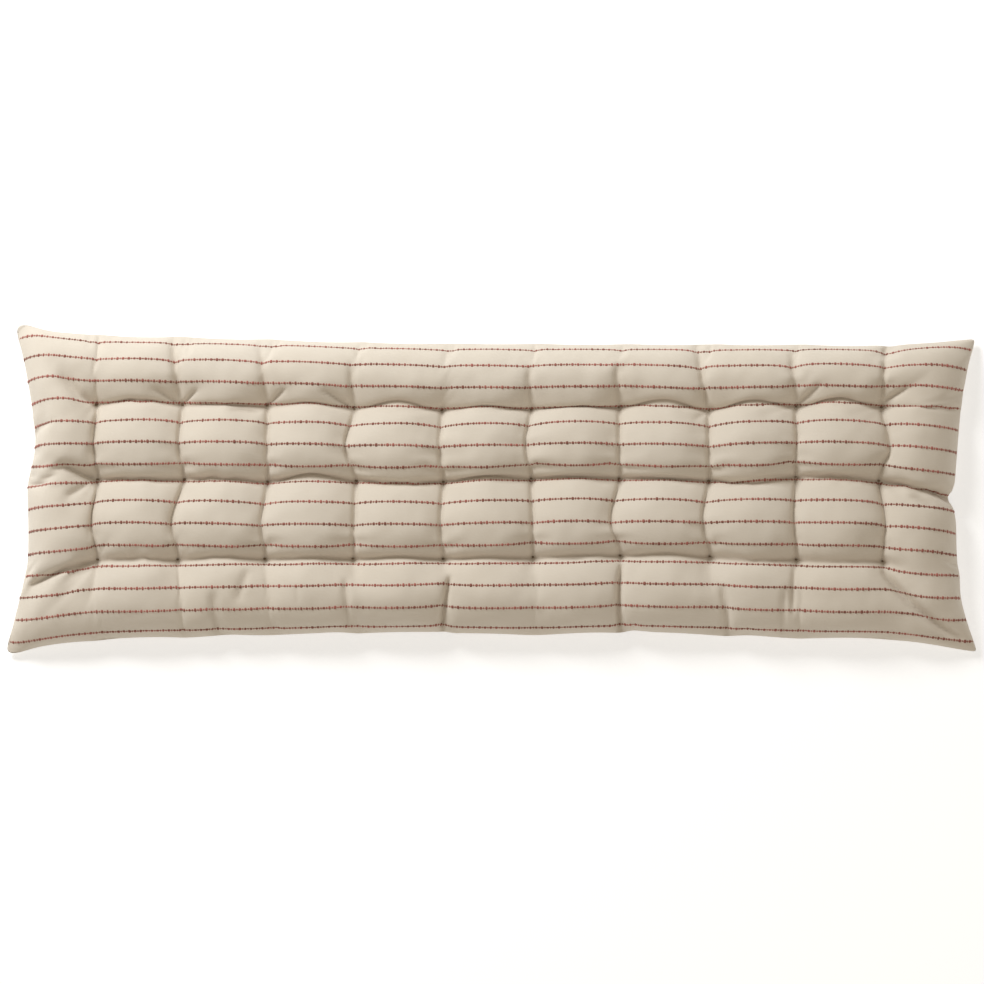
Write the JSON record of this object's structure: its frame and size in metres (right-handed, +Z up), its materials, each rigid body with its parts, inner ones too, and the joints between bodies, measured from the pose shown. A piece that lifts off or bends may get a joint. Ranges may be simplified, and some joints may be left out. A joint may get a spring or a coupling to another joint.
{
  "type": "long tufted throw pillow",
  "caption": "Long, thin, filled cushion with a knife edge, drawn through its whole thickness by rows of small thread tufts into soft square pads.",
  "frame": {"origin": "centre of the cushion's footprint, on the plane that it lies on", "axes": "+X along the cushion's length, +Y from its front long side to its back long side, +Z up out of its upper face"},
  "size_m": [1.2, 0.4033, 0.0626],
  "materials": {
    "natural_cotton": "matte"
  },
  "bodies": {
    "root": {"cushion": "natural_cotton"}
  },
  "joints": []
}
